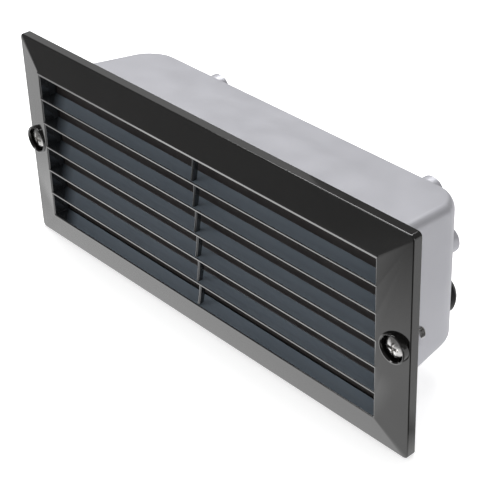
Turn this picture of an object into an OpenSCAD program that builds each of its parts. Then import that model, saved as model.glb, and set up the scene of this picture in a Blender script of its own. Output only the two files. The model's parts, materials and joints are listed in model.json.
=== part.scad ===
// Recessed brick light: a louvred face plate over a drafted back box that is built into a wall.
// X runs along the light, Y goes into the wall and Z is up. The origin is the middle of the
// wall opening, in the plane of the wall's surface, where the back of the face plate lies.

/* [Face plate] */
// Width of the face plate
plate_w = 240; // [240:1:250]
// Height of the face plate
plate_h = 102; // [98:1:110]
// Depth of the plate's square rim, from the wall forward
rim_d = 4.4; // [3.5:0.1:6]
// How far the bevel rises in front of the rim
bevel_rise = 3; // [2:0.1:5]
// Width of the plate's frame at each end of the opening
frame_side = 15.8; // [15:0.1:20]
// Height of the louvre opening
open_h = 74; // [68:0.5:76]
// Radius of the plate's outer corners
plate_r = 2; // [1:0.5:3]
// Thickness of the plate's rim and bevel
plate_wall = 2.2; // [1.8:0.1:2.6]

/* [Louvre] */
// Number of slats across the opening
slat_n = 5; // [3:1:6]
// Thickness of a slat at its front edge
slat_t = 1.2; // [1:0.1:2.4]
// Thickness of a slat at its back edge
slat_back_t = 1.1; // [1:0.1:2]
// Radius of the slat's upper front edge
slat_nose_r = 0.6; // [0.4:0.1:1]
// Depth of the slats from the front of the plate
louvre_d = 8.1; // [7.6:0.1:8.6]
// Thickness of the middle rib
rib_t = 1.4; // [1:0.1:3]
// Depth of the middle rib
rib_d = 2.6; // [2:0.1:5]
// How far the rib sits behind the slats' front edges
rib_setback = 1.5; // [0:0.1:2]

/* [Face screws] */
// Distance from a face screw to the near end of the plate
screw_inset = 7; // [7:0.1:9]
// Diameter of the screw's thread
screw_d = 5; // [4:0.5:5]
// Diameter of the screw's head
screw_head_d = 8.8; // [8:0.1:9.2]
// Height of the screw's head
screw_head_h = 2.5; // [2:0.1:2.8]
// Length of the screw under its head
screw_l = 13.4; // [12:0.1:16]
// Outer diameter of the raised collar round the head
collar_d = 13; // [12:0.1:13.4]
// Wall of the raised collar
collar_wall = 1; // [0.8:0.1:1.2]
// How far the collar stands out in front of the wall
collar_front = 7.5; // [7.4:0.1:9]
// Depth of the collar's counterbore
collar_bore = 4; // [3.6:0.1:4.6]
// Thickness of the seal under the screw's head
screw_seal_t = 0.8; // [0.5:0.1:1.2]

/* [Glass and gaskets] */
// Thickness of the glass
glass_t = 4; // [3:0.5:5]
// Thickness of the silicone bed between plate and glass
glass_seal_t = 0.8; // [0.5:0.1:1.5]
// Thickness of the gasket between glass and back box
gasket_t = 1.5; // [1:0.1:2.5]

/* [Back box] */
// Depth of the back box behind the wall's surface
box_d = 52.2; // [46:0.1:60]
// How much shorter than the opening the box is at each end, at the wall's surface
box_end_step = 2.9; // [2:0.1:5]
// Height of the box at the wall's surface
box_front_h = 76; // [75:0.1:77]
// How far each end wall leans in over the whole depth
end_draft = 5.25; // [3:0.05:7]
// Height of the box at its back
box_back_h = 64.2; // [62:0.1:67]
// Wall of the box
box_wall = 2.5; // [2:0.1:3]
// Radius of the long edges
edge_r = 4; // [3.5:0.1:5]
// Radius between the end walls and the back
end_r = 12; // [9:0.5:12]
// Radius between the top wall and the back
back_r = 0.8; // [0.4:0.1:1.6]
// Wall of the collar that holds the glass
mouth_wall = 2; // [1.6:0.1:2.4]
// Diameter of the ears that take the face screws
ear_d = 9.2; // [8.6:0.1:10]
// Length of the ears
ear_l = 4; // [3:0.1:6]
// Thickness of the web between an ear and the box
ear_web = 6; // [4:0.5:8]

/* [Fixings through the back] */
// Diameter of the round bosses on the back
boss_d = 12; // [10:0.5:12]
// How far the bosses stand out of the back
boss_h = 6; // [4:0.5:7]
// Distance from a row's outer hole to the near end of the box's back
fixing_near = 22.55; // [20:0.05:30]
// Distance from a row's other hole to the near end of the box's back
fixing_far = 40.55; // [30:0.05:50]
// Distance from each row to the near edge of the box's back
fixing_edge = 7.5; // [7:0.1:10]
// Diameter of the fixing holes
fixing_hole_d = 4.5; // [4:0.1:5.5]

/* [Cable entry] */
// Distance from the cable entry to the right end of the box's back
entry_inset = 12.75; // [12.5:0.05:16]
// Distance from the cable entry to the lower edge of the box's back
entry_edge = 14.6; // [12:0.1:15]
// Outer diameter of the grommet's flange
grommet_d = 18.8; // [16:0.1:19]
// How far the grommet's dome stands out of the back
grommet_h = 5.9; // [3:0.1:6.5]
// Diameter of the hole for the cable
cable_d = 8; // [6:0.1:9]
// Diameter of the hole in the back box
entry_hole_d = 12; // [11:0.1:12.5]

/* [Lamp and holder] */
// Least distance from the lamp's bulb to the glass and to the reflector
bulb_room = 1.4; // [1:0.1:6]
// Length of the whole lamp
lamp_l = 100; // [90:1:104]
// Diameter of the lamp's screw cap
cap_d = 13.9; // [13:0.1:14]
// Length of the lamp's screw cap
cap_l = 21; // [19:0.5:22]
// Distance from the lampholder's back to the right end of the box's back
holder_inset = 26.05; // [25:0.05:30]
// Length of the lampholder
holder_l = 38; // [34:0.5:40]
// Outer diameter of the lampholder's skirt
skirt_d = 25; // [23:0.5:26]
// Outer diameter of the lampholder's base
base_d = 22; // [21:0.5:23]
// Length of the lampholder's base
base_l = 14; // [13:0.5:15]
// Thickness of the steel bracket
bracket_t = 1.2; // [1:0.1:1.6]
// Length of the bracket's foot
bracket_foot = 15; // [14:0.5:18]

/* [Reflector] */
// Distance from the reflector to the left end of the box's back
reflector_left_inset = 44.05; // [43:0.05:50]
// Distance from the reflector to the right end of the box's back
reflector_right_inset = 56.05; // [55:0.05:60]
// Thickness of the reflector's sheet
reflector_t = 0.8; // [0.5:0.1:1]
// Width of the reflector's flat back
reflector_flat = 36; // [34:0.5:38]
// Width of the reflector across its front edges
reflector_open = 62; // [58:0.5:63]
// Distance from the reflector's front edges to the collar that holds the glass
reflector_room = 7.9; // [2:0.1:12]

/* [Terminals and leads] */
// Distance from the terminal block's middle to the right end of the box's back
block_inset = 13.05; // [12.9:0.05:14]
// Height of the terminal block's middle
block_z = 5.7; // [5:0.1:6]
// Width of the terminal block
block_w = 13; // [12:0.1:13.2]
// Distance between its poles
pole_pitch = 9; // [8:0.1:9.4]
// Depth of the terminal block
block_d = 13; // [12:0.5:13]
// Diameter of the insulated leads
lead_d = 2.4; // [1.8:0.1:2.8]
// Distance from the earth terminal to the right end of the box's back
earth_inset = 10.05; // [9:0.05:11]
// Distance from the earth terminal to the upper edge of the box's back
earth_edge = 7.6; // [7.1:0.1:8.1]

/* [Hidden] */
$fn = 48;

// Overrun of every cut past the face that it leaves
over = 1;
// Clearance between pieces that move apart
gap = 0.3;

// Face plate: places worked out from its sizes
plate_d = rim_d + bevel_rise;
open_w = plate_w - 2 * frame_side;
slat_pitch = open_h / (slat_n + 1);
louvre_back = louvre_d - plate_d;
tube_w = open_w + 2 * plate_wall;
tube_h = open_h + 2 * plate_wall;
tube_r = plate_wall;
screw_x = plate_w / 2 - screw_inset;
collar_chamfer = 0.4;
counterbore_d = collar_d - 2 * collar_wall;
plate_hole_d = screw_d + 2 * gap;
seat_y = collar_bore - collar_front;

// Glass, gaskets and the mouth of the box
glass_y = louvre_back + glass_seal_t;
glass_back_y = glass_y + glass_t;
shelf_y = glass_back_y + gasket_t;
mouth_gap = 0.6;
mouth_w = tube_w + 2 * mouth_gap;
mouth_h = tube_h + 2 * mouth_gap;
seal_lip = plate_wall;
gasket_edge = gap;

// Back box
box_front_w = open_w - 2 * box_end_step;
box_back_w = box_front_w - 2 * end_draft;
box_inner_y = box_d - box_wall;
inner_edge_r = edge_r - box_wall;
inner_end_r = end_r - box_wall;
inner_back_r = back_r / 2;
ear_thread_room = 0.2;
ear_bore_d = screw_d + ear_thread_room;
round_steps = 8;
boss_root = 3;
boss_chamfer = 0.8;
pad_d = 8;
pad_h = 2;
pad_y = box_inner_y - pad_h;
fixing_z = box_back_h / 2 - fixing_edge;

// Cable grommet
entry_x = box_back_w / 2 - entry_inset;
entry_z = entry_edge - box_back_h / 2;
grommet_lip = 1.2;
grommet_lip_t = 1.6;

// Small screws inside: shank, head and grip
small_screw_d = 3;
small_head_d = 5.6;
small_head_h = 1.8;
small_grip = 3;
small_tip_gap = 0.8;
slot_w = 0.8;
slot_depth = 0.8;

// Cross recess of the face screws
recess_w = 1.3;
recess_l = 5.2;
recess_depth = 1.6;
head_dome = 1.1;
thread_depth = 0.35;
thread_pitch = 0.8;
thread_l = 9;

// Terminals
block_poles = 2;
block_x = box_back_w / 2 - block_inset;
block_h = pole_pitch * block_poles;
block_back_y = pad_y;
block_front_y = block_back_y - block_d;
block_bore_d = 4.4;
clamp_d = 4.2;
clamp_bore_d = 2.8;
clamp_inset = 1;
clamp_l = block_w - 2 * clamp_inset;
terminal_well_d = 3.6;
terminal_screw_d = 3.2;
terminal_sink = 1;
lead_y = block_front_y + block_d / 2;
lead_bend_r = 1.5;
lead_stub = 0.4;
earth_x = box_back_w / 2 - earth_inset;
earth_z = box_back_h / 2 - earth_edge;
earth_boss_d = 6.4;
earth_boss_h = 3.5;
earth_washer_d = 7.6;
earth_washer_t = 1;
earth_head_d = 6;

// Reflector
reflector_left_x = reflector_left_inset - box_back_w / 2;
reflector_right_x = box_back_w / 2 - reflector_right_inset;
reflector_x = (reflector_left_x + reflector_right_x) / 2;
reflector_back_y = pad_y - reflector_t;
reflector_d = reflector_back_y - shelf_y - reflector_room;
reflector_screw_inset = 22;
reflector_screw_dx = reflector_right_x - reflector_x - reflector_screw_inset;
reflector_screw_dz = 12;
reflector_screws_at = [for (s = [-1, 1]) [s * reflector_screw_dx, -s * reflector_screw_dz]];

// Lampholder and lamp
holder_x = box_back_w / 2 - holder_inset;
holder_mouth_x = holder_x - holder_l;
lead_x = holder_x - base_l / 2;
lamp_y = lead_y - lead_bend_r - lead_stub - gap - base_d / 2;
bulb_d = 2 * (min(lamp_y - glass_back_y, reflector_back_y - lamp_y) - bulb_room);
skirt_wall = 2.2;
skirt_bore_d = skirt_d - 2 * skirt_wall;
shell_t = 0.5;
shell_thread_room = 0.1;
shell_bore_d = cap_d + 2 * gap + shell_thread_room;
shell_d = shell_bore_d + 2 * shell_t;
shell_short = 3;
shell_l = cap_l - shell_short;
holder_floor_t = 2;
holder_floor_x = holder_x - base_l + holder_floor_t;
contact_d = 5;
contact_t = 1.6;
lamp_end_x = holder_floor_x - contact_t - gap;
lamp_tip_x = lamp_end_x - lamp_l;
cap_button_d = 4.6;
cap_button_h = 1;
cap_insulator_h = 2;
cap_back_x = lamp_end_x - cap_button_h - cap_insulator_h;
cap_front_x = cap_back_x - cap_l;
cap_turns = 6;
cap_thread_depth = 0.4;
cap_wall = 0.6;
bulb_wall = 1;
bulb_belly_share = 0.36;
bulb_steps = 14;
bulb_taper = 1.15;
neck_d = 12.6;

// Bracket
bracket_x = holder_x;
bracket_w = 30;
bracket_z = 1;
bracket_front_y = lamp_y - base_d / 2;
bracket_foot_y = pad_y - bracket_t;
bracket_screw_dz = 9;
bracket_screw_inset = 6;
bracket_screw_x = bracket_x + bracket_t - bracket_foot + bracket_screw_inset;
holder_screw_dz = 8;
window_margin = 1.2;

function pole_z(i) = block_z + (i - (block_poles - 1) / 2) * pole_pitch;

black = [0.10, 0.10, 0.10];
grey = [0.74, 0.74, 0.77];
steel = [0.78, 0.78, 0.8];
rubber = [0.08, 0.08, 0.08];
silicone = [0.82, 0.83, 0.84];
white = [0.93, 0.93, 0.91];
brass = [0.80, 0.66, 0.36];

// Rounded rectangle round the origin
module outline(w, h, r) {
    square([w - 2 * r, h], center = true);
    square([w, h - 2 * r], center = true);
    for (sx = [-1, 1], sy = [-1, 1])
        translate([sx * (w / 2 - r), sy * (h / 2 - r)])
            circle(r = r);
}

// Slab with that outline in the wall's plane, from depth y0 to depth y1
module slab(w, h, r, y0, y1) {
    translate([0, y1, 0])
        rotate([90, 0, 0])
            linear_extrude(height = y1 - y0)
                outline(w, h, r);
}

// Round bar along Y at a place on the wall
module bar(x, z, d, y0, y1) {
    translate([x, y1, z])
        rotate([90, 0, 0])
            cylinder(d = d, h = y1 - y0);
}

// Bar along Y that narrows from d0 at y0 to d1 at y1
module cone_bar(x, z, d0, d1, y0, y1) {
    translate([x, y0, z])
        rotate([-90, 0, 0])
            cylinder(d1 = d0, d2 = d1, h = y1 - y0);
}

// Turned piece round the lamp's axis; its outline is drawn as [x, radius]
module turned() {
    translate([0, lamp_y, 0])
        rotate([0, 90, 0])
            rotate([0, 0, 90])
                rotate_extrude()
                    mirror([1, 0, 0])
                        rotate([0, 0, 90])
                            children();
}

// Outline drawn as [y, z], stretched along X from x0 to x1
module along_x(x0, x1) {
    translate([x0, 0, 0])
        rotate([90, 0, 90])
            linear_extrude(height = x1 - x0)
                children();
}

// Slotted cheese-head screw: head in front of y, shank behind it
module small_screw(x, z, y, head_d = small_head_d, shank_l = small_grip) {
    difference() {
        union() {
            bar(x, z, head_d, y - small_head_h, y);
            bar(x, z, small_screw_d, y - small_head_h / 2, y + shank_l);
        }
        translate([x - head_d, y - small_head_h - over, z - slot_w / 2])
            cube([2 * head_d, slot_depth + over, slot_w]);
    }
}

// Bevelled casting without its opening: the rim at the back, the narrower front edge ahead
module bevel_solid(w, h, r, front_w, front_h, rim, front) {
    hull() {
        slab(w, h, r, -rim, over);
        slab(front_w, front_h, r / 4, -front, -front + plate_wall / 2);
    }
}

// Section of one slat: flat top, rounded front edge, underside rising to the back
module slat_section() {
    nose_y = -plate_d + slat_nose_r;
    translate([-plate_d, -slat_t])
        square([slat_nose_r, slat_t - slat_nose_r]);
    translate([nose_y, -slat_nose_r])
        circle(r = slat_nose_r, $fn = 24);
    polygon([[nose_y, 0], [nose_y, -slat_t], [louvre_back, -slat_back_t], [louvre_back, 0]]);
}

module face_plate() {
    color(black)
        difference() {
            union() {
                difference() {
                    union() {
                        intersection() {
                            bevel_solid(plate_w, plate_h, plate_r, open_w, open_h, rim_d, plate_d);
                            slab(plate_w, plate_h, plate_r, -plate_d, 0);
                        }
                        slab(tube_w, tube_h, tube_r, -rim_d, louvre_back);
                    }
                    difference() {
                        bevel_solid(plate_w - 2 * plate_wall, plate_h - 2 * plate_wall,
                            plate_r / 2, open_w, open_h, rim_d - plate_wall, plate_d - plate_wall);
                        slab(tube_w, tube_h, tube_r, -plate_d, louvre_back);
                    }
                    slab(open_w, open_h, plate_wall / 4, -plate_d - over, louvre_back + over);
                }
                for (side = [-1, 1])
                    screw_collar(side * screw_x);
                louvre();
            }
            for (side = [-1, 1]) {
                bar(side * screw_x, 0, counterbore_d, -collar_front - over, seat_y);
                bar(side * screw_x, 0, plate_hole_d, seat_y - over, over);
            }
        }
}

// Raised collar round one face screw, with a chamfered front edge
module screw_collar(x) {
    bar(x, 0, collar_d, collar_chamfer - collar_front, 0);
    cone_bar(x, 0, collar_d - 2 * collar_chamfer, collar_d, -collar_front,
        collar_chamfer - collar_front);
}

// Slats from the top edge down, and the upright rib between them
module louvre() {
    for (i = [0 : slat_n])
        translate([0, 0, open_h / 2 - i * slat_pitch])
            along_x(-open_w / 2 - plate_wall / 2, open_w / 2 + plate_wall / 2)
                slat_section();
    translate([-rib_t / 2, rib_setback - plate_d, -open_h / 2 - plate_wall / 2])
        cube([rib_t, rib_d, open_h + plate_wall]);
}

module glass_seal() {
    color(silicone)
        difference() {
            slab(tube_w, tube_h, tube_r, louvre_back, glass_y);
            slab(tube_w - 2 * seal_lip, tube_h - 2 * seal_lip, tube_r / 4, louvre_back - over,
                glass_y + over);
        }
}

module diffuser_glass() {
    color([0.80, 0.86, 0.90])
        slab(tube_w, tube_h, tube_r, glass_y, glass_back_y);
}

module screw_seals() {
    color(rubber)
        for (side = [-1, 1])
            difference() {
                bar(side * screw_x, 0, counterbore_d - 2 * gap, seat_y - screw_seal_t, seat_y);
                bar(side * screw_x, 0, plate_hole_d, seat_y - screw_seal_t - over, seat_y + over);
            }
}

// Cross-recessed pan-head screw with its thread at the tip
module face_screw(x) {
    head_y = seat_y - screw_seal_t;
    front_y = head_y - screw_head_h;
    tip_y = head_y + screw_l;
    color(steel)
        difference() {
            translate([x, 0, 0])
                rotate([-90, 0, 0])
                    rotate_extrude()
                        face_screw_section(head_y, front_y, tip_y);
            for (turn = [0, 90])
                translate([x, front_y, 0])
                    rotate([0, turn, 0])
                        translate([-recess_l / 2, -over, -recess_w / 2])
                            cube([recess_l, recess_depth + over, recess_w]);
        }
}

// Half section of the face screw, drawn as [radius, y]
module face_screw_section(head_y, front_y, tip_y) {
    head_r = screw_head_d / 2;
    crown_r = (head_r * head_r + head_dome * head_dome) / (2 * head_dome);
    intersection() {
        translate([0, front_y])
            square([head_r, screw_head_h]);
        translate([0, front_y + crown_r])
            circle(r = crown_r, $fn = 96);
    }
    translate([0, head_y - head_dome])
        square([screw_d / 2 - thread_depth, tip_y - head_y + head_dome]);
    for (y = [tip_y - thread_l : thread_pitch : tip_y - thread_pitch])
        polygon([[0, y], [screw_d / 2 - thread_depth, y],
            [screw_d / 2, y + thread_pitch / 2],
            [screw_d / 2 - thread_depth, y + thread_pitch], [0, y + thread_pitch]]);
}

module face_screw_left() {
    face_screw(-screw_x);
}

module face_screw_right() {
    face_screw(screw_x);
}

// Drafted box with rounded long edges and ends: inset by a wall for the hollow
module box_solid(inset, front_y, back_y, corner_r, plan_r, rim_r) {
    hull() {
        slab(box_front_w - 2 * inset, box_front_h - 2 * inset, corner_r, front_y, front_y + over,
            $fn = 32);
        for (i = [0 : round_steps])
            box_station(inset, back_y - plan_r * (1 - sin(90 * i / round_steps)), back_y,
                corner_r, plan_r * (1 - cos(90 * i / round_steps)), rim_r);
    }
}

// Thin slice of the box at depth y, drawn in at its ends and at its back rim
module box_station(inset, y, back_y, corner_r, end_inset, rim_r) {
    depth_share = y / box_d;
    into_rim = max(0, y - back_y + rim_r);
    rim_inset = rim_r - sqrt(rim_r * rim_r - into_rim * into_rim);
    w = box_front_w + (box_back_w - box_front_w) * depth_share;
    h = box_front_h + (box_back_h - box_front_h) * depth_share;
    slab(w - 2 * (inset + end_inset), h - 2 * (inset + rim_inset), corner_r, y - gap / 4, y,
        $fn = 32);
}

// Round boss on the outside of the back, with a chamfered end
module back_boss(x, z) {
    bar(x, z, boss_d, box_d - boss_root, box_d + boss_h - boss_chamfer);
    cone_bar(x, z, boss_d, boss_d - 2 * boss_chamfer, box_d + boss_h - boss_chamfer,
        box_d + boss_h);
}

// Places of the four fixing holes as [x, z]: the lower row is the upper one turned half round
fixings = [for (row = [1, -1])
    each [[row * (box_back_w / 2 - fixing_near), row * fixing_z],
        [row * (fixing_far - box_back_w / 2), row * fixing_z]]];

// Pads inside the back that carry the bracket, the reflector and the terminal block
pads = concat(
    [for (s = [-1, 1]) [bracket_screw_x, bracket_z + s * bracket_screw_dz]],
    [for (p = reflector_screws_at) [reflector_x + p[0], p[1]]],
    [[block_x, block_z]]);

module housing() {
    color(grey)
        difference() {
            union() {
                difference() {
                    union() {
                        box_solid(0, 0, box_d, edge_r, end_r, back_r);
                        slab(mouth_w + 2 * mouth_wall, mouth_h + 2 * mouth_wall,
                            tube_r + mouth_wall, 0, shelf_y + mouth_wall);
                        for (side = [-1, 1])
                            ear(side);
                        for (p = fixings)
                            back_boss(p[0], p[1]);
                        back_boss(block_x, block_z);
                        bar(entry_x, entry_z, grommet_d, box_d - boss_root, box_d);
                    }
                    box_solid(box_wall, -over, box_inner_y, inner_edge_r, inner_end_r,
                        inner_back_r);
                    slab(mouth_w, mouth_h, tube_r + mouth_gap, -over, shelf_y);
                }
                for (p = pads)
                    bar(p[0], p[1], pad_d, pad_y, box_inner_y + box_wall / 2);
                bar(earth_x, earth_z, earth_boss_d, box_inner_y - earth_boss_h, box_inner_y
                    + box_wall / 2);
            }
            for (side = [-1, 1])
                bar(side * screw_x, 0, ear_bore_d, -over, ear_l + over);
            for (p = fixings)
                bar(p[0], p[1], fixing_hole_d, box_inner_y - over, box_d + boss_h + over);
            bar(entry_x, entry_z, entry_hole_d, box_inner_y - boss_root, box_d + over);
            bar(entry_x, entry_z, entry_hole_d + 2 * grommet_lip + gap, box_inner_y - boss_root,
                box_inner_y);
            for (p = pads)
                bar(p[0], p[1], small_screw_d, pad_y - over, pad_y + small_grip);
            bar(earth_x, earth_z, small_screw_d, box_inner_y - earth_boss_h - over,
                box_inner_y - earth_boss_h + small_grip);
        }
}

// Ear beside the box that takes a face screw, and the web that carries it
module ear(side) {
    bar(side * screw_x, 0, ear_d, 0, ear_l);
    translate([side > 0 ? box_back_w / 2 - box_wall : -screw_x, 0, -ear_web / 2])
        cube([screw_x - box_back_w / 2 + box_wall, ear_l, ear_web]);
}

module housing_gasket() {
    color(rubber)
        difference() {
            slab(mouth_w - 2 * gasket_edge, mouth_h - 2 * gasket_edge, tube_r, shelf_y - gasket_t,
                shelf_y);
            slab(box_front_w - 2 * box_wall, box_front_h - 2 * box_wall, edge_r,
                shelf_y - gasket_t - over, shelf_y + over);
        }
}

// Domed rubber grommet, pushed into the hole in the back
module cable_grommet() {
    flange_r = grommet_d / 2;
    dome_r = (flange_r * flange_r + grommet_h * grommet_h) / (2 * grommet_h);
    color(rubber)
        difference() {
            translate([entry_x, 0, entry_z])
                rotate([-90, 0, 0])
                    rotate_extrude() {
                        translate([0, box_inner_y - grommet_lip_t])
                            square([entry_hole_d / 2 + grommet_lip, grommet_lip_t]);
                        translate([0, box_inner_y - grommet_lip_t])
                            square([entry_hole_d / 2, box_wall + 2 * grommet_lip_t]);
                        intersection() {
                            translate([0, box_d])
                                square([flange_r, grommet_h]);
                            translate([0, box_d + grommet_h - dome_r])
                                circle(r = dome_r, $fn = 96);
                        }
                    }
            bar(entry_x, entry_z, cable_d, box_inner_y - grommet_lip_t - over,
                box_d + grommet_h + over);
        }
}

// Trough of bright sheet behind the lamp
module reflector() {
    f = reflector_flat / 2;
    o = reflector_open / 2;
    b = reflector_back_y;
    t = reflector_t;
    front = b - reflector_d;
    color([0.90, 0.90, 0.91])
        difference() {
            along_x(reflector_left_x, reflector_right_x)
                polygon([[front, -o], [b, -f], [b, f], [front, o], [front, o + t],
                    [b + t, f + t / 2], [b + t, -f - t / 2], [front, -o - t]]);
            for (p = reflector_screws_at)
                bar(reflector_x + p[0], p[1], small_screw_d + gap, b - over, b + t + over);
        }
}

module reflector_screws() {
    color(steel)
        for (p = reflector_screws_at)
            small_screw(reflector_x + p[0], p[1], reflector_back_y, small_head_d,
                reflector_t + small_grip - small_tip_gap);
}

// Bent steel bracket: a foot on the back and an upright behind the lampholder
module lampholder_bracket() {
    z0 = bracket_z - bracket_w / 2;
    color([0.70, 0.72, 0.75])
        difference() {
            union() {
                translate([bracket_x, bracket_front_y, z0])
                    cube([bracket_t, pad_y - bracket_front_y, bracket_w]);
                translate([bracket_x + bracket_t - bracket_foot, bracket_foot_y, z0])
                    cube([bracket_foot, bracket_t, bracket_w]);
            }
            for (s = [-1, 1])
                bar(bracket_screw_x, bracket_z + s * bracket_screw_dz, small_screw_d + gap,
                    bracket_foot_y - over, pad_y + over);
            for (s = [-1, 1])
                translate([bracket_x - over, lamp_y, s * holder_screw_dz])
                    rotate([0, 90, 0])
                        cylinder(d = small_screw_d + gap, h = bracket_t + 2 * over);
            translate([bracket_x - over, lead_y - lead_d / 2 - window_margin,
                pole_z(0) - lead_d / 2 - window_margin])
                cube([bracket_t + 2 * over, lead_d + 2 * window_margin,
                    pole_pitch + lead_d + 2 * window_margin]);
        }
}

module bracket_screws() {
    color(steel)
        for (s = [-1, 1])
            small_screw(bracket_screw_x, bracket_z + s * bracket_screw_dz, bracket_foot_y,
                small_head_d, bracket_t + small_grip - small_tip_gap);
}

// Moulded lampholder: a base with a deep skirt round the screw shell
module lampholder() {
    color(white)
        difference() {
            turned() {
                translate([holder_x - base_l, 0])
                    square([base_l, base_d / 2]);
                translate([holder_mouth_x, 0])
                    square([holder_l - base_l + shell_t, skirt_d / 2]);
            }
            turned()
                translate([holder_mouth_x - over, 0])
                    square([holder_floor_x - holder_mouth_x + over, shell_d / 2]);
            turned()
                translate([holder_mouth_x - over, 0])
                    square([holder_l - base_l - skirt_wall + over, skirt_bore_d / 2]);
            for (s = [-1, 1])
                translate([holder_x - small_grip, lamp_y, s * holder_screw_dz])
                    rotate([0, 90, 0])
                        cylinder(d = small_screw_d, h = small_grip + over);
        }
}

module lampholder_screws() {
    color(steel)
        for (s = [-1, 1])
            translate([bracket_x + bracket_t, lamp_y, s * holder_screw_dz])
                difference() {
                    rotate([0, 90, 0]) {
                        cylinder(d = small_head_d, h = small_head_h);
                        translate([0, 0, -bracket_t - small_grip + small_tip_gap])
                            cylinder(d = small_screw_d, h = bracket_t + small_grip);
                    }
                    translate([small_head_h - slot_depth, -small_head_d, -slot_w / 2])
                        cube([slot_depth + over, 2 * small_head_d, slot_w]);
                }
}

// Thin screw shell inside the lampholder
module lampholder_shell() {
    color(brass)
        turned()
            translate([holder_floor_x - shell_l, shell_bore_d / 2])
                square([shell_l, shell_t]);
}

module lampholder_contact() {
    color(brass)
        turned()
            translate([holder_floor_x - contact_t, 0])
                square([contact_t, contact_d / 2]);
}

// Two-pole terminal block: lead bores along X, screw wells towards the front
module terminal_block() {
    color(white)
        difference() {
            translate([block_x - block_w / 2, block_front_y, block_z - block_h / 2])
                cube([block_w, block_back_y - block_front_y, block_h]);
            for (i = [0 : block_poles - 1]) {
                translate([block_x - block_w / 2 - over, lead_y, pole_z(i)])
                    rotate([0, 90, 0])
                        cylinder(d = block_bore_d, h = block_w + 2 * over);
                for (s = [-1, 1])
                    bar(block_x + s * block_w / 4, pole_z(i), terminal_well_d,
                        block_front_y - over, lead_y);
            }
            bar(block_x, block_z, small_screw_d + gap, block_front_y - over, block_back_y + over);
            bar(block_x, block_z, pole_pitch - block_bore_d, block_front_y - over,
                block_front_y + small_head_h + gap);
        }
}

// Brass tube of each pole, open to the leads and to its two screws
module terminal_clamps() {
    color(brass)
        for (i = [0 : block_poles - 1])
            difference() {
                translate([block_x - clamp_l / 2, lead_y, pole_z(i)])
                    rotate([0, 90, 0])
                        cylinder(d = clamp_d, h = clamp_l);
                translate([block_x - clamp_l / 2 - over, lead_y, pole_z(i)])
                    rotate([0, 90, 0])
                        cylinder(d = clamp_bore_d, h = clamp_l + 2 * over);
                for (s = [-1, 1])
                    bar(block_x + s * block_w / 4, pole_z(i), terminal_screw_d,
                        lead_y - clamp_d, lead_y);
            }
}

module terminal_screws() {
    color(steel)
        for (i = [0 : block_poles - 1], s = [-1, 1])
            difference() {
                bar(block_x + s * block_w / 4, pole_z(i), terminal_screw_d - gap / 3,
                    block_front_y + terminal_sink, lead_y - lead_d / 2);
                translate([block_x + s * block_w / 4 - terminal_screw_d,
                    block_front_y + terminal_sink - over, pole_z(i) - slot_w / 2])
                    cube([2 * terminal_screw_d, slot_depth + over, slot_w]);
            }
}

module block_screw() {
    color(steel)
        small_screw(block_x, block_z, block_front_y + small_head_h, pole_pitch - block_bore_d - gap,
            block_d - small_head_h + small_grip - small_tip_gap);
}

// Insulated lead from a pole of the block to the side of the lampholder
module lead(z) {
    near_z = max(0, abs(z) - lead_d / 2);
    top_y = lamp_y + sqrt(pow(base_d / 2, 2) - pow(near_z, 2)) + gap;
    x1 = block_x - gap;
    translate([lead_x + lead_bend_r, lead_y, z])
        rotate([0, 90, 0])
            cylinder(d = lead_d, h = x1 - lead_x - lead_bend_r, $fn = 24);
    translate([lead_x + lead_bend_r, lead_y - lead_bend_r, z])
        rotate([0, 0, 90])
            rotate_extrude(angle = 90, $fn = 32)
                translate([lead_bend_r, 0])
                    circle(d = lead_d, $fn = 24);
    bar(lead_x, z, lead_d, top_y, lead_y - lead_bend_r);
}

module live_lead() {
    color([0.45, 0.25, 0.15])
        lead(pole_z(0));
}

module neutral_lead() {
    color([0.20, 0.35, 0.65])
        lead(pole_z(1));
}

module earth_washer() {
    y = box_inner_y - earth_boss_h;
    color(brass)
        difference() {
            bar(earth_x, earth_z, earth_washer_d, y - earth_washer_t, y);
            bar(earth_x, earth_z, small_screw_d + gap, y - earth_washer_t - over, y + over);
        }
}

module earth_screw() {
    color(brass)
        small_screw(earth_x, earth_z, box_inner_y - earth_boss_h - earth_washer_t, earth_head_d,
            earth_washer_t + small_grip - small_tip_gap);
}

// Candle bulb of opal glass: a belly of one arc, drawn in to the neck and to the tip
module bulb_section(inset) {
    r = bulb_d / 2 - inset;
    belly_x = cap_front_x - (cap_front_x - lamp_tip_x) * bulb_belly_share;
    neck_r = neck_d / 2 - inset;
    tip_x = lamp_tip_x + inset;
    polygon(concat(
        [[cap_front_x, 0]],
        [for (i = [0 : bulb_steps])
            let (a = i / bulb_steps)
            [cap_front_x + (belly_x - cap_front_x) * a,
                neck_r + (r - neck_r) * pow(sin(90 * a), 2)]],
        [for (i = [1 : bulb_steps])
            let (a = i / bulb_steps)
            [belly_x + (tip_x - belly_x) * sin(90 * a), r * pow(cos(90 * a), bulb_taper)]]));
}

module lamp_bulb() {
    color(white)
        difference() {
            turned()
                bulb_section(0);
            turned()
                bulb_section(bulb_wall);
            turned()
                translate([cap_front_x - bulb_wall, 0])
                    square([2 * bulb_wall, neck_d / 2 - bulb_wall]);
        }
}

// Rolled screw cap of the lamp
module lamp_cap() {
    color(steel)
        difference() {
            turned() {
                translate([cap_front_x, 0])
                    square([cap_l, cap_d / 2 - cap_thread_depth]);
                for (i = [0 : cap_turns - 1])
                    translate([cap_front_x + cap_l * (i + 0.5) / cap_turns,
                        cap_d / 2 - 2 * cap_thread_depth])
                        circle(r = 2 * cap_thread_depth, $fn = 24);
            }
            turned()
                translate([cap_front_x - over, 0])
                    square([cap_l + 2 * over, cap_d / 2 - cap_thread_depth - cap_wall]);
        }
}

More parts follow.
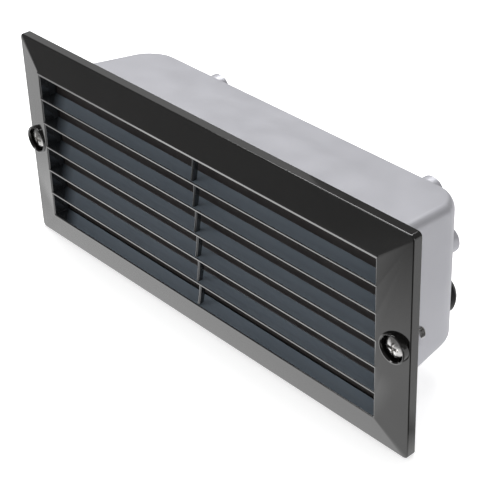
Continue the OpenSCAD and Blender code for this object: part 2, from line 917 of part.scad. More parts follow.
module lamp_contact() {
    color([0.25, 0.22, 0.20])
        turned()
            polygon([[cap_back_x, 0], [cap_back_x, cap_d / 2 - cap_thread_depth],
                [cap_back_x + cap_insulator_h, cap_button_d / 2],
                [lamp_end_x, cap_button_d / 2], [lamp_end_x, 0]]);
}

housing();
housing_gasket();
cable_grommet();
reflector();
reflector_screws();
lampholder_bracket();
bracket_screws();
lampholder();
lampholder_screws();
lampholder_shell();
lampholder_contact();
terminal_block();
terminal_clamps();
terminal_screws();
block_screw();
live_lead();
neutral_lead();
earth_screw();
earth_washer();
face_plate();
glass_seal();
diffuser_glass();
screw_seals();
face_screw_left();
face_screw_right();
lamp_bulb();
lamp_cap();
lamp_contact();
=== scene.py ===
"""Looks of a recessed louvred step light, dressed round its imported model.

Lengths are in metres, in the model's frame: X along the light, Y into the wall, Z up.
"""

import json
import math

import bmesh
import bpy
from mathutils import Matrix, Vector

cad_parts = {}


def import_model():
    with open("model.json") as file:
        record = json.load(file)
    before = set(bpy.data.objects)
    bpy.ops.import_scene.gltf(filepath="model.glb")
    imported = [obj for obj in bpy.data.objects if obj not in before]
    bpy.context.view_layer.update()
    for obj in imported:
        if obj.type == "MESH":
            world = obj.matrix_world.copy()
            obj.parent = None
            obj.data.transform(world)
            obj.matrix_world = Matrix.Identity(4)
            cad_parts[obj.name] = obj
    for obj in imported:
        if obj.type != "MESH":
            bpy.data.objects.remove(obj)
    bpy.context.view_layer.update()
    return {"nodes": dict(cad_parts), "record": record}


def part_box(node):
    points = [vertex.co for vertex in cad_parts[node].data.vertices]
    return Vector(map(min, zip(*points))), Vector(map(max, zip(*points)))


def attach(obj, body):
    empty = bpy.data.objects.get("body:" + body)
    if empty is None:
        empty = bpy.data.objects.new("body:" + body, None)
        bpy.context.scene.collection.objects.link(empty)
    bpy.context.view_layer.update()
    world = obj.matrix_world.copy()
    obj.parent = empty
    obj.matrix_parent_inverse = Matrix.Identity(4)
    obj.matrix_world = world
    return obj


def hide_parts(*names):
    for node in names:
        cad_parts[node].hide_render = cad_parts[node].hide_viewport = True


MM = 0.001

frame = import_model()
nodes = frame["nodes"]

# Sizes of the face plate's casting that its node's box doesn't give
RIM_DEPTH = 4.4 * MM
BEVEL_RISE = 3.0 * MM
OPEN_HALF_WIDTH = 104.2 * MM
OPEN_HALF_HEIGHT = 37.0 * MM
PLATE_WALL = 2.2 * MM
PLATE_CORNER = 2.0 * MM
RIM_ROUND = 0.6 * MM
EDGE_ROUND = 0.7 * MM
BACK_ROUND = 0.3 * MM
TUBE_ROUND = 0.2 * MM
SLAT_COUNT = 5
SLAT_THICKNESS = 1.2 * MM
SLAT_BACK = 1.1 * MM
SLAT_NOSE = 0.4 * MM
SLAT_FOOT_ROUND = 0.15 * MM
SLAT_DRAFT = 0.32 * MM
TOP_SLAT_ROOT = 0.6 * MM
LOUVRE_DEPTH = 8.1 * MM
RIB_THICKNESS = 1.4 * MM
RIB_DEPTH = 2.6 * MM
RIB_SETBACK = 2.0 * MM
RIB_FOOT_SETBACK = 0.4 * MM
RIB_ROUND = 0.6 * MM
RIB_BACK_ROUND = 0.2 * MM
RIB_STEPS = 6
SCREW_X = 113.0 * MM
COLLAR_RADIUS = 6.5 * MM
COLLAR_BORE_RADIUS = 5.5 * MM
COLLAR_FRONT = 7.5 * MM
COLLAR_FLOOR = 3.5 * MM
COLLAR_ROUND = 0.5 * MM
COLLAR_LIP = 0.35 * MM
COLLAR_FLOOR_ROUND = 0.3 * MM
COLLAR_OVERLAP = 0.4 * MM
SCREW_HOLE_RADIUS = 2.8 * MM
CUT_OVERRUN = 1.0 * MM

# Shading of the casting: the angle in degrees from which an edge stays sharp, and how strongly
# the larger faces draw the normals of smooth edges towards their own
SHARP_ANGLE = 24.0
LARGE_FACE_WEIGHT = 90

plate_low, plate_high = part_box("face_plate")
entry_low, entry_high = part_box("cable_grommet")
PLATE_HALF_WIDTH = plate_high.x
PLATE_HALF_HEIGHT = plate_high.z
PLATE_FRONT = RIM_DEPTH + BEVEL_RISE
LOUVRE_BACK = LOUVRE_DEPTH - PLATE_FRONT
ENTRY_X = (entry_low.x + entry_high.x) / 2
ENTRY_Z = (entry_low.z + entry_high.z) / 2
ENTRY_RADIUS = (entry_high.x - entry_low.x) / 2
ENTRY_MARGIN = 0.1 * MM

# Painted reflection on the slats' tops, a bluish sheen: its share on other faces and at the left end,
# and behind the noses
PAINTED_REFLECTION_FAINT = 0.06
PAINTED_REFLECTION_FRONT = 0.38
# Painted shadow at the left end: how far the painted reflection fades in from there, and how much
# nearer to that end it starts with depth
PAINTED_SHADOW_FADE = 9.0 * MM
PAINTED_SHADOW_SLANT = 1.17
# How far up a face looks where the painted reflection starts and is full, as the Z of its normal
PAINTED_REFLECTION_LEVEL = (0.9, 0.98)
# Where it starts to fade and is gone, measured out from the opening's edges
PAINTED_REFLECTION_HEIGHT_EDGE = (0.2 * MM, 1.0 * MM)
PAINTED_REFLECTION_WIDTH_EDGE = (0.1 * MM, 0.5 * MM)

# The table that the light stands on: its colour and what fills it up to white for the camera
FLOOR_HALF_SIZE = 3.0
FLOOR_TONE = 0.8
FLOOR_FILL = 0.65

# The floor's glow in mirrored rays: the two levels it goes from and to, and the places where that
# change starts and ends, along X for left and right and along Y for the rest
GLOW_AHEAD = (0.2, 1.0, -0.17, -0.06)
GLOW_CLOSE = (1, 0.88, -0.07, -0.03)
GLOW_LEFT = (0.8, 1, -0.14, -0.11)
GLOW_RIGHT = (1, 0.1, 0.122, 0.135)
GLOW_BEHIND = (0, 0.7, 0.0, 0.02)
# The strip that the slats' fronts mirror is brighter still by this share
LIPS_AHEAD = (0, 0.7, -0.050, -0.038)
LIPS_CLOSE = (1, 0, -0.0145, -0.0118)
LIPS_LEFT = (0, 1, -0.20, -0.12)
LIPS_RIGHT = (1, 0, 0.085, 0.1)

# Studio fill as the camera sees it, in mirrored rays and for the rest
WORLD_SEEN = 1.0
WORLD_MIRRORED = 0.14
WORLD_FILL = 0.35

# Each lamp's name, place, the point it faces, its width and height, and its power
LAMPS = (
    ("overhead", (-0.35, 0.3, 1.25), (0, 0.03, 0), (1.0, 0.9), 16.0),
    ("back_left", (-1.34, 0.68, 0.80), (0, 0.03, 0), (0.95, 1.0), 1.0),
    ("side", (1.2, 0.15, 0.10), (0.1, 0.03, 0), (0.7, 0.5), 2.5),
    ("front_left", (-0.46, -0.65, 0.66), (0, 0, 0), (0.24, 0.24), 0.6),
)

# The photograph's camera, fitted to the plate, the louvre, the box and the screws
CAMERA_AZIMUTH = 49.597
CAMERA_ELEVATION = 32.693
CAMERA_ROLL = -2.387
CAMERA_DISTANCE = 610.8 * MM
CAMERA_TARGET = Vector((26.4, -4.4, 7.0)) * MM
CAMERA_LENS = 113.58
SENSOR_WIDTH = 36.0


# Materials


class Nodes:
    """Shorthand for building one material's node tree."""

    def __init__(self, name):
        self.material = bpy.data.materials.new(name)
        self.material.use_nodes = True
        self.tree = self.material.node_tree
        self.shader = self.tree.nodes["Principled BSDF"]
        self.place = self.add("ShaderNodeTexCoord").outputs["Object"]

    def add(self, kind, **settings):
        node = self.tree.nodes.new(kind)
        for key, value in settings.items():
            setattr(node, key, value)
        return node

    def link(self, source, target):
        self.tree.links.new(source, target)

    def set(self, **sockets):
        for key, value in sockets.items():
            self.shader.inputs[key.replace("_", " ")].default_value = value

    def stretched(self, scale):
        mapping = self.add("ShaderNodeMapping")
        mapping.inputs["Scale"].default_value = scale
        self.link(self.place, mapping.inputs["Vector"])
        return mapping.outputs["Vector"]

    def noise(self, scale, detail=2.0, stretch=(1, 1, 1)):
        noise = self.add("ShaderNodeTexNoise")
        noise.inputs["Scale"].default_value = scale
        noise.inputs["Detail"].default_value = detail
        self.link(self.stretched(stretch), noise.inputs["Vector"])
        return noise.outputs["Fac"]

    def ranged(self, value, low, high, start=0.3, end=0.7):
        ramp = self.add("ShaderNodeMapRange")
        ramp.inputs["From Min"].default_value = start
        ramp.inputs["From Max"].default_value = end
        ramp.inputs["To Min"].default_value = low
        ramp.inputs["To Max"].default_value = high
        self.link(value, ramp.inputs["Value"])
        return ramp.outputs["Result"]

    def coloured(self, value, dark, light, start=0.3, end=0.7):
        """From the dark to the light colour as the value goes from start to end."""
        ramp = self.add("ShaderNodeValToRGB")
        for element, position, colour in zip(ramp.color_ramp.elements, (start, end), (dark, light)):
            element.position = position
            element.color = rgb(*colour)
        self.link(value, ramp.inputs["Fac"])
        return ramp.outputs["Color"]

    def blend(self, factor, first, second):
        """From the first colour to the second as the factor goes from 0 to 1."""
        mix = self.add("ShaderNodeMix", data_type="RGBA")
        self.link(factor, mix.inputs["Factor"])
        self.link(first, mix.inputs["A"])
        if isinstance(second, tuple):
            mix.inputs["B"].default_value = second
        else:
            self.link(second, mix.inputs["B"])
        return mix.outputs["Result"]

    def axes(self):
        """The place's X, Y and Z."""
        place = self.add("ShaderNodeSeparateXYZ")
        self.link(self.place, place.inputs[0])
        return place.outputs["X"], place.outputs["Y"], place.outputs["Z"]

    def bump(self, height, strength, distance):
        bump = self.add("ShaderNodeBump")
        bump.inputs["Strength"].default_value = strength
        bump.inputs["Distance"].default_value = distance
        self.link(height, bump.inputs["Height"])
        self.link(bump.outputs["Normal"], self.shader.inputs["Normal"])

    def math(self, operation, first, second):
        node = self.add("ShaderNodeMath", operation=operation)
        for socket, value in zip(node.inputs, (first, second)):
            if isinstance(value, (int, float)):
                socket.default_value = value
            else:
                self.link(value, socket)
        return node.outputs[0]

    def painted_reflection_on_slats(self):
        """Painted reflection: 1 on upward faces in the opening, less at fronts, painted shadow at
        left ends.
        """
        x, y, z = self.axes()
        facing = self.add("ShaderNodeSeparateXYZ")
        self.link(self.add("ShaderNodeNewGeometry").outputs["True Normal"], facing.inputs[0])
        upward = self.ranged(facing.outputs["Z"], PAINTED_REFLECTION_FAINT, 1, *PAINTED_REFLECTION_LEVEL)
        deep = self.ranged(y, PAINTED_REFLECTION_FRONT, 1, SLAT_NOSE - PLATE_FRONT, LOUVRE_BACK)
        behind_nose = self.ranged(y, 0, 1, SLAT_NOSE / 2 - PLATE_FRONT, SLAT_NOSE - PLATE_FRONT)
        # Painted shadow of the opening's left wall, its edge slanting with depth
        shaded = self.math("ADD", x, self.math("MULTIPLY", y, PAINTED_SHADOW_SLANT))
        left = self.ranged(shaded, PAINTED_REFLECTION_FAINT, 1, -OPEN_HALF_WIDTH, PAINTED_SHADOW_FADE - OPEN_HALF_WIDTH)
        within_height = self.ranged(self.math("ABSOLUTE", z, 0), 1, 0,
                                    *[OPEN_HALF_HEIGHT + edge for edge in PAINTED_REFLECTION_HEIGHT_EDGE])
        within_width = self.ranged(self.math("ABSOLUTE", x, 0), 1, 0,
                                   *[OPEN_HALF_WIDTH + edge for edge in PAINTED_REFLECTION_WIDTH_EDGE])
        factor = self.math("MULTIPLY", self.math("MINIMUM", upward, left), deep)
        for part in (behind_nose, within_height, within_width):
            factor = self.math("MULTIPLY", factor, part)
        return factor

    def near_cable_entry(self):
        """1 within the cable grommet's flange radius of its axis, else 0."""
        x, _, z = self.axes()
        across = self.math("SUBTRACT", x, ENTRY_X)
        up = self.math("SUBTRACT", z, ENTRY_Z)
        square = self.math("ADD", self.math("MULTIPLY", across, across),
                           self.math("MULTIPLY", up, up))
        return self.math("LESS_THAN", square, (ENTRY_RADIUS + ENTRY_MARGIN) ** 2)


def rgb(red, green, blue):
    return (red, green, blue, 1.0)


def speckled(name, dark, light, scale, rough, bump_scale, bump_depth, **fixed):
    """A finish whose colour, gloss and surface vary a little at the given scales."""
    m = Nodes(name)
    m.set(**fixed)
    tone = m.noise(scale, detail=4.0)
    m.link(m.coloured(tone, dark, light, 0.35, 0.65), m.shader.inputs["Base Color"])
    m.link(m.ranged(m.noise(scale * 1.7), *rough), m.shader.inputs["Roughness"])
    m.bump(m.noise(bump_scale, detail=3.0), 0.6, bump_depth)
    return m.material


def gloss_black_paint():
    """Stoved gloss paint on a casting: near black and smooth; a bluish painted reflection on the
    slats.
    """
    m = Nodes("gloss_black_paint")
    m.set(Specular_IOR_Level=0.5, Coat_Weight=1.0, Coat_Roughness=0.04, Coat_IOR=1.6)
    paint = m.coloured(m.noise(60.0, detail=5.0), (0.007, 0.0065, 0.006), (0.010, 0.0095, 0.009))
    # Bluish grey painted reflection on the slats' tops, faded out as painted shadow at their left
    # ends
    painted_reflection_colour = m.coloured(m.noise(45.0, detail=3.0, stretch=(0.3, 1, 1)),
                      (0.52, 0.63, 0.75), (0.62, 0.74, 0.87))
    m.link(m.blend(m.painted_reflection_on_slats(), paint, painted_reflection_colour), m.shader.inputs["Base Color"])
    m.link(m.ranged(m.noise(140.0), 0.10, 0.16), m.shader.inputs["Roughness"])
    m.bump(m.noise(300.0, detail=1.5), 0.12, 0.01 * MM)
    return m.material


def cast_aluminium():
    """Shot-blasted die casting, slightly cool, with a fine grain; its cable boss is blackened."""
    m = Nodes("cast_aluminium")
    m.set(Metallic=0.7, Specular_IOR_Level=0.5)
    bare = m.coloured(m.noise(35.0, detail=6.0), (0.605, 0.605, 0.645), (0.635, 0.635, 0.675))
    m.link(m.blend(m.near_cable_entry(), bare, rgb(0.014, 0.013, 0.014)),
           m.shader.inputs["Base Color"])
    m.link(m.ranged(m.noise(90.0, detail=3.0), 0.42, 0.47), m.shader.inputs["Roughness"])
    m.bump(m.noise(1600.0, detail=4.0), 0.5, 0.03 * MM)
    return m.material


def frosted_glass():
    """Glass etched on its inner face: dull, with no shape showing through; its dark tone is painted
    shade.
    """
    m = Nodes("frosted_glass")
    m.set(IOR=1.5, Transmission_Weight=0.2, Specular_IOR_Level=0.12)
    # Dark grey-brown base colour: painted shade of the box's unlit inside behind the glass
    m.link(m.coloured(m.noise(45.0, detail=3.0), (0.090, 0.080, 0.078), (0.118, 0.106, 0.102)),
           m.shader.inputs["Base Color"])
    m.link(m.ranged(m.noise(300.0), 0.34, 0.42), m.shader.inputs["Roughness"])
    m.bump(m.noise(300.0, detail=2.0), 0.1, 0.01 * MM)
    return m.material


def bright_steel():
    """Bright steel of small screws: turned marks and a little tarnish."""
    m = Nodes("bright_steel")
    m.set(Metallic=1.0)
    m.link(m.coloured(m.noise(500.0, detail=3.0), (0.60, 0.59, 0.58), (0.82, 0.81, 0.80)),
           m.shader.inputs["Base Color"])
    m.link(m.ranged(m.noise(900.0), 0.14, 0.28), m.shader.inputs["Roughness"])
    m.bump(m.noise(1400.0, detail=2.0), 0.3, 0.02 * MM)
    return m.material


def sheet_metal(name, dark, light, rough):
    """Rolled sheet with its grain along X."""
    m = Nodes(name)
    m.set(Metallic=1.0)
    grain = m.noise(60.0, detail=5.0, stretch=(0.4, 14.0, 14.0))
    m.link(m.coloured(grain, dark, light), m.shader.inputs["Base Color"])
    m.link(m.ranged(grain, *rough), m.shader.inputs["Roughness"])
    m.bump(grain, 0.2, 0.01 * MM)
    return m.material


def opal_glass():
    """White opal bulb: a milky body under a glossy skin."""
    m = Nodes("opal_glass")
    m.set(IOR=1.5, Transmission_Weight=0.15, Subsurface_Weight=0.4, Subsurface_Scale=2 * MM)
    m.link(m.coloured(m.noise(50.0), (0.80, 0.80, 0.77), (0.86, 0.86, 0.84)),
           m.shader.inputs["Base Color"])
    m.link(m.ranged(m.noise(80.0), 0.10, 0.18), m.shader.inputs["Roughness"])
    m.bump(m.noise(200.0), 0.1, 0.01 * MM)
    return m.material


finishes = {
    "plate_black": gloss_black_paint(),
    "box_metal": cast_aluminium(),
    "frosted_glass": frosted_glass(),
    "opal_glass": opal_glass(),
    "steel": bright_steel(),
    "zinc_sheet": sheet_metal("zinc_sheet", (0.48, 0.50, 0.53), (0.62, 0.64, 0.67), (0.25, 0.4)),
    "reflector_sheet": sheet_metal("reflector_sheet", (0.78, 0.78, 0.79), (0.88, 0.88, 0.88),
                                   (0.10, 0.2)),
    "lamp_cap_metal": sheet_metal("lamp_cap_metal", (0.62, 0.62, 0.63), (0.76, 0.76, 0.77),
                                  (0.2, 0.34)),
    "brass": speckled("brass", (0.50, 0.34, 0.12), (0.66, 0.48, 0.20), 260.0, (0.2, 0.36),
                      900.0, 0.02 * MM, Metallic=1.0),
    "rubber": speckled("rubber", (0.010, 0.010, 0.011), (0.020, 0.020, 0.022), 240.0, (0.45, 0.6),
                       1100.0, 0.03 * MM, Specular_IOR_Level=0.4),
    "silicone": speckled("silicone", (0.016, 0.016, 0.017), (0.026, 0.026, 0.027), 120.0, (0.4, 0.5),
                         400.0, 0.02 * MM, Specular_IOR_Level=0.3),
    "white_plastic": speckled("white_plastic", (0.72, 0.72, 0.69), (0.80, 0.80, 0.77), 80.0,
                              (0.25, 0.35), 500.0, 0.01 * MM),
    "lead_brown": speckled("lead_brown", (0.13, 0.055, 0.025), (0.17, 0.075, 0.035), 300.0,
                           (0.35, 0.45), 900.0, 0.01 * MM),
    "lead_blue": speckled("lead_blue", (0.03, 0.09, 0.28), (0.045, 0.12, 0.35), 300.0,
                          (0.35, 0.45), 900.0, 0.01 * MM),
    "cap_insulator": speckled("cap_insulator", (0.012, 0.012, 0.012), (0.03, 0.028, 0.028), 300.0,
                              (0.12, 0.25), 700.0, 0.02 * MM),
}


# Meshes


def shade(obj):
    """Smooth shading that keeps the sharper edges, and the large flat faces flat."""
    mesh = bmesh.new()
    mesh.from_mesh(obj.data)
    limit = math.radians(SHARP_ANGLE)
    for face in mesh.faces:
        face.smooth = True
    for edge in mesh.edges:
        edge.smooth = len(edge.link_faces) == 2 and edge.calc_face_angle(math.pi) < limit
    mesh.to_mesh(obj.data)
    mesh.free()
    modifier = obj.modifiers.new("flat_faces", "WEIGHTED_NORMAL")
    modifier.keep_sharp = True
    modifier.weight = LARGE_FACE_WEIGHT
    bake(obj)


def fillet(corners, steps=5):
    """The closed 2-D outline of corners (a, b, radius), with each corner rounded to its radius."""
    points = [Vector(corner[:2]) for corner in corners]
    out = []
    for i, (a, b, radius) in enumerate(corners):
        if radius <= 0:
            out.append((a, b))
            continue
        back = (points[i - 1] - points[i]).normalized()
        ahead = (points[(i + 1) % len(points)] - points[i]).normalized()
        half = back.angle(ahead) / 2
        reach = radius / math.tan(half)
        centre = points[i] + (back + ahead).normalized() * radius / math.sin(half)
        start = points[i] + back * reach - centre
        end = points[i] + ahead * reach - centre
        turn = start.angle_signed(end)
        for k in range(steps + 1):
            spoke = start.copy()
            spoke.rotate(Matrix.Rotation(-turn * k / steps, 2))
            out.append(tuple(centre + spoke))
    return out


def rounded_ring(half_width, half_height, radius, steps=6):
    """Points [x, z] of a rounded rectangle, in order."""
    points = []
    for quarter, (sx, sz) in enumerate(((1, 1), (-1, 1), (-1, -1), (1, -1))):
        for k in range(steps + 1):
            angle = math.pi / 2 * (quarter + k / steps)
            points.append((sx * (half_width - radius) + radius * math.cos(angle),
                           sz * (half_height - radius) + radius * math.sin(angle)))
    return points


def join_loops(mesh, a, b):
    """Faces between two closed loops of equally many vertices."""
    for i in range(len(a)):
        j = (i + 1) % len(a)
        mesh.faces.new((a[i], a[j], b[j], b[i]))


def ring_shell(mesh, sections):
    """A closed tube of rounded rectangles: each section is (half width, half height, y, radius)."""
    loops = []
    for half_width, half_height, y, radius in sections:
        ring = rounded_ring(half_width, half_height, radius)
        loops.append([mesh.verts.new((x, y, z)) for x, z in ring])
    for a, b in zip(loops, loops[1:] + loops[:1]):
        join_loops(mesh, a, b)


def capped_bar(mesh, sections):
    """A closed bar through sections of equally many points."""
    loops = [[mesh.verts.new(point) for point in section] for section in sections]
    for a, b in zip(loops, loops[1:]):
        join_loops(mesh, a, b)
    mesh.faces.new(loops[0])
    mesh.faces.new(list(reversed(loops[-1])))


def lathe(mesh, outline, x, count=64):
    """A closed turned piece about the line along Y at x; the outline is [radius, y]."""
    loops = []
    for k in range(count):
        angle = 2 * math.pi * k / count
        loops.append([mesh.verts.new((x + radius * math.cos(angle), y, radius * math.sin(angle)))
                      for radius, y in outline])
    for a, b in zip(loops, loops[1:] + loops[:1]):
        for i in range(len(outline)):
            j = (i + 1) % len(outline)
            if outline[i][0] == 0 and outline[j][0] == 0:
                continue
            mesh.faces.new((a[i], a[j], b[j], b[i]))


def loose_object(name, build):
    """An object that only serves to cut or join, made by a function that fills a bmesh."""
    mesh = bmesh.new()
    build(mesh)
    bmesh.ops.remove_doubles(mesh, verts=mesh.verts, dist=0.001 * MM)
    bmesh.ops.recalc_face_normals(mesh, faces=mesh.faces)
    data = bpy.data.meshes.new(name)
    mesh.to_mesh(data)
    mesh.free()
    obj = bpy.data.objects.new(name, data)
    bpy.context.scene.collection.objects.link(obj)
    return obj


def bake(obj):
    """Turn the object's modifiers into its mesh."""
    bpy.context.view_layer.update()
    result = bpy.data.meshes.new_from_object(obj.evaluated_get(
        bpy.context.evaluated_depsgraph_get()))
    obj.modifiers.clear()
    obj.data = result


def combine(target, tool, operation):
    """Join the tool to the target or cut it out, and delete the tool."""
    modifier = target.modifiers.new("combine", "BOOLEAN")
    modifier.operation = operation
    modifier.solver = "EXACT"
    modifier.object = tool
    bake(target)
    bpy.data.objects.remove(tool)


# Face plate: one casting with rounded edges


def plate_sections():
    """The plate's frame as rounded rectangles, taken in turn round its cross-section."""
    side_inset = PLATE_HALF_WIDTH - OPEN_HALF_WIDTH
    end_inset = PLATE_HALF_HEIGHT - OPEN_HALF_HEIGHT
    tube = side_inset - PLATE_WALL
    outline = fillet([
        (0, 0, BACK_ROUND),
        (0, -RIM_DEPTH, RIM_ROUND),
        (side_inset, -PLATE_FRONT, EDGE_ROUND),
        (side_inset, LOUVRE_BACK, TUBE_ROUND),
        (tube, LOUVRE_BACK, TUBE_ROUND),
        (tube, PLATE_WALL - PLATE_FRONT, 0),
        (PLATE_WALL, PLATE_WALL - RIM_DEPTH, 0),
        (PLATE_WALL, 0, BACK_ROUND),
    ])
    sections = []
    for inset, y in outline:
        share = inset / side_inset
        radius = PLATE_CORNER + (PLATE_WALL / 4 - PLATE_CORNER) * share
        sections.append((PLATE_HALF_WIDTH - inset, PLATE_HALF_HEIGHT - share * end_inset, y,
                         radius))
    return sections


def slat_outline(top):
    """Section of one slat as [y, z]: its upper front edge rounded, its front face drafted."""
    return fillet([
        (-PLATE_FRONT, top, SLAT_NOSE),
        (SLAT_DRAFT - PLATE_FRONT, top - SLAT_THICKNESS, SLAT_FOOT_ROUND),
        (LOUVRE_BACK, top - SLAT_BACK, 0),
        (LOUVRE_BACK, top, 0),
    ])


def top_slat_outline():
    """Section of the slat under the upper bevel, whose front carries the bevel on."""
    slope = BEVEL_RISE / (PLATE_HALF_HEIGHT - OPEN_HALF_HEIGHT)
    return fillet([
        (TOP_SLAT_ROOT * slope - PLATE_FRONT, OPEN_HALF_HEIGHT + TOP_SLAT_ROOT, 0),
        (-PLATE_FRONT, OPEN_HALF_HEIGHT, 0),
        (SLAT_DRAFT - PLATE_FRONT, OPEN_HALF_HEIGHT - SLAT_THICKNESS, SLAT_FOOT_ROUND),
        (LOUVRE_BACK, OPEN_HALF_HEIGHT - SLAT_BACK, 0),
        (LOUVRE_BACK, OPEN_HALF_HEIGHT + TOP_SLAT_ROOT, 0),
    ])


def slat(mesh, outline):
    """A slat that ends inside the plate's walls."""
    reach = OPEN_HALF_WIDTH + PLATE_WALL / 2
    capped_bar(mesh, [[(x, y, z) for y, z in outline] for x in (-reach, reach)])


def rib(mesh, foot, top):
    """One gap's length of the upright rib, which curves forward to its foot."""
    front = RIB_SETBACK - PLATE_FRONT
    half = RIB_THICKNESS / 2
    outline = fillet([
        (-half, front, RIB_ROUND),
        (half, front, RIB_ROUND),
        (half, front + RIB_DEPTH, RIB_BACK_ROUND),
        (-half, front + RIB_DEPTH, RIB_BACK_ROUND),
    ])
    lean = RIB_SETBACK - RIB_FOOT_SETBACK
    sections = []
    for k in range(RIB_STEPS + 1):
        share = k / RIB_STEPS
        z = top + (foot - top) * share
        sections.append([(x, y - lean * share ** 2, z) for x, y in outline])
    capped_bar(mesh, sections)


def collar_outline():
    """Section of a screw collar as [radius, y]: a ring with a floor round the screw's hole."""
    return fillet([
        (COLLAR_RADIUS, 0, 0),
        (COLLAR_RADIUS, -COLLAR_FRONT, COLLAR_ROUND),
        (COLLAR_BORE_RADIUS + COLLAR_LIP, -COLLAR_FRONT, 0),
        (COLLAR_BORE_RADIUS, COLLAR_LIP - COLLAR_FRONT, 0),
        (COLLAR_BORE_RADIUS, -COLLAR_FLOOR, COLLAR_FLOOR_ROUND),
        (SCREW_HOLE_RADIUS, -COLLAR_FLOOR, 0),
        (SCREW_HOLE_RADIUS, 0, 0),
    ])


def opening_outline():
    """Half section of the hole in the plate that a collar fills."""
    radius = COLLAR_RADIUS - COLLAR_OVERLAP
    return [(0, -COLLAR_FRONT), (radius, -COLLAR_FRONT), (radius, CUT_OVERRUN), (0, CUT_OVERRUN)]


def face_plate():
    """The whole casting, which takes the place of the model's own face plate."""
    plate = loose_object("face_plate_casting", lambda mesh: ring_shell(mesh, plate_sections()))
    pitch = 2 * OPEN_HALF_HEIGHT / (SLAT_COUNT + 1)
    outlines = [top_slat_outline()]
    outlines += [slat_outline(OPEN_HALF_HEIGHT - i * pitch) for i in range(1, SLAT_COUNT + 1)]
    for outline in outlines:
        combine(plate, loose_object("slat", lambda mesh: slat(mesh, outline)), "UNION")
    for i in range(SLAT_COUNT + 1):
        top = OPEN_HALF_HEIGHT - i * pitch - SLAT_THICKNESS / 2
        foot = top - pitch + (SLAT_THICKNESS if i == SLAT_COUNT else 0)
        combine(plate, loose_object("rib", lambda mesh: rib(mesh, foot, top)), "UNION")
    for x in (-SCREW_X, SCREW_X):
        combine(plate, loose_object("opening", lambda mesh: lathe(mesh, opening_outline(), x)),
                "DIFFERENCE")
        combine(plate, loose_object("collar", lambda mesh: lathe(mesh, collar_outline(), x)),
                "UNION")
    plate.data.materials.clear()
    plate.data.materials.append(finishes["plate_black"])
    shade(plate)
    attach(plate, "cover")
    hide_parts("face_plate")


face_plate()


# Finishes of the model's own nodes

for entry in frame["record"]["subparts"]:
    node = nodes[entry["node"]]
    node.data.materials.clear()
    node.data.materials.append(finishes[entry["material_slot"]])


# Camera


def camera():
    """The photograph's camera, turned round its target and rolled."""
    around = math.radians(CAMERA_AZIMUTH)
    above = math.radians(CAMERA_ELEVATION)
    out = Vector((math.sin(around) * math.cos(above), -math.cos(around) * math.cos(above),
                  math.sin(above)))
    right = Vector((math.cos(around), math.sin(around), 0))
    up = right.cross(-out)
    roll = math.radians(CAMERA_ROLL)
    axis_x = math.cos(roll) * right + math.sin(roll) * up
    axis_y = math.cos(roll) * up - math.sin(roll) * right
    data = bpy.data.cameras.new("camera")
    data.lens = CAMERA_LENS
    data.sensor_width = SENSOR_WIDTH
    data.clip_start = 0.05
    data.clip_end = 20
    obj = bpy.data.objects.new("camera", data)
    place = CAMERA_TARGET + out * CAMERA_DISTANCE
    obj.matrix_world = Matrix.LocRotScale(
        place, Matrix((axis_x, axis_y, out)).transposed().to_quaternion(), None)
    bpy.context.scene.collection.objects.link(obj)
    bpy.context.scene.camera = obj


camera()


# Floor, lamps and world


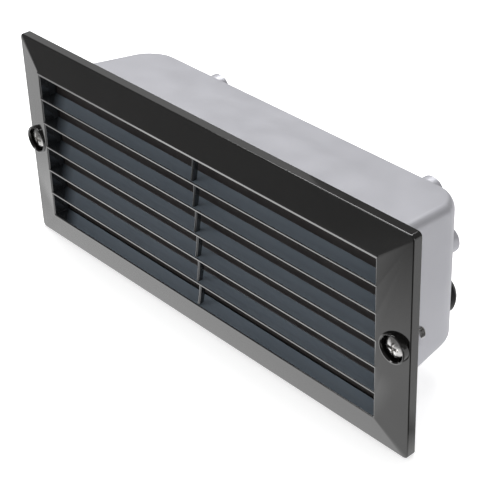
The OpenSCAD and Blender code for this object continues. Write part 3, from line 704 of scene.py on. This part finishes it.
def floor():
    """A white table: lit by the lamps, filled up to white for the camera, shadow kept."""
    mesh = bmesh.new()
    bmesh.ops.create_grid(mesh, x_segments=1, y_segments=1, size=FLOOR_HALF_SIZE)
    data = bpy.data.meshes.new("floor")
    mesh.to_mesh(data)
    mesh.free()
    obj = bpy.data.objects.new("floor", data)
    obj.location.z = plate_low.z
    bpy.context.scene.collection.objects.link(obj)
    m = Nodes("floor_white")
    m.set(Roughness=0.9, Specular_IOR_Level=0.0)
    path = m.add("ShaderNodeLightPath")
    x, y, _ = m.axes()
    mirrored = path.outputs["Is Glossy Ray"]
    near = m.ranged(y, *GLOW_AHEAD)
    for factor in (m.ranged(y, *GLOW_CLOSE), m.ranged(x, *GLOW_LEFT),
                   m.math("MAXIMUM", m.ranged(x, *GLOW_RIGHT), m.ranged(y, *GLOW_BEHIND))):
        near = m.math("MULTIPLY", near, factor)
    lips = m.ranged(y, *LIPS_AHEAD)
    for factor in (m.ranged(y, *LIPS_CLOSE), m.ranged(x, *LIPS_LEFT), m.ranged(x, *LIPS_RIGHT)):
        lips = m.math("MULTIPLY", lips, factor)
    near = m.math("MULTIPLY", near, m.math("ADD", 1, lips))
    m.link(m.math("MULTIPLY", m.math("SUBTRACT", 1, mirrored), FLOOR_TONE),
           m.shader.inputs["Base Color"])
    seen = m.math("MAXIMUM", path.outputs["Is Camera Ray"], path.outputs["Is Transmission Ray"])
    glow = m.math("MAXIMUM", m.math("MULTIPLY", seen, FLOOR_FILL), m.math("MULTIPLY", mirrored, near))
    m.shader.inputs["Emission Color"].default_value = rgb(1, 1, 1)
    m.link(glow, m.shader.inputs["Emission Strength"])
    data.materials.append(m.material)


floor()


def lamp(name, place, target, size, power):
    """A rectangular soft lamp that faces a point."""
    data = bpy.data.lights.new(name, "AREA")
    data.shape = "RECTANGLE"
    data.size, data.size_y = size
    data.energy = power
    obj = bpy.data.objects.new(name, data)
    way = Vector(target) - Vector(place)
    obj.matrix_world = Matrix.LocRotScale(
        Vector(place), way.to_track_quat("-Z", "Y"), None)
    bpy.context.scene.collection.objects.link(obj)


def world():
    """Even studio fill: white for the camera, dim for mirrored rays, in between for the rest."""
    scene_world = bpy.data.worlds.new("studio")
    bpy.context.scene.world = scene_world
    scene_world.use_nodes = True
    tree = scene_world.node_tree
    background = tree.nodes["Background"]
    background.inputs["Color"].default_value = rgb(1, 1, 1)
    path = tree.nodes.new("ShaderNodeLightPath")
    mirrored = tree.nodes.new("ShaderNodeMix")
    tree.links.new(path.outputs["Is Glossy Ray"], mirrored.inputs["Factor"])
    mirrored.inputs["A"].default_value = WORLD_FILL
    mirrored.inputs["B"].default_value = WORLD_MIRRORED
    seen = tree.nodes.new("ShaderNodeMix")
    tree.links.new(path.outputs["Is Camera Ray"], seen.inputs["Factor"])
    tree.links.new(mirrored.outputs["Result"], seen.inputs["A"])
    seen.inputs["B"].default_value = WORLD_SEEN
    tree.links.new(seen.outputs["Result"], background.inputs["Strength"])


world()
for settings in LAMPS:
    lamp(*settings)

scene = bpy.context.scene
scene.view_settings.view_transform = "Standard"
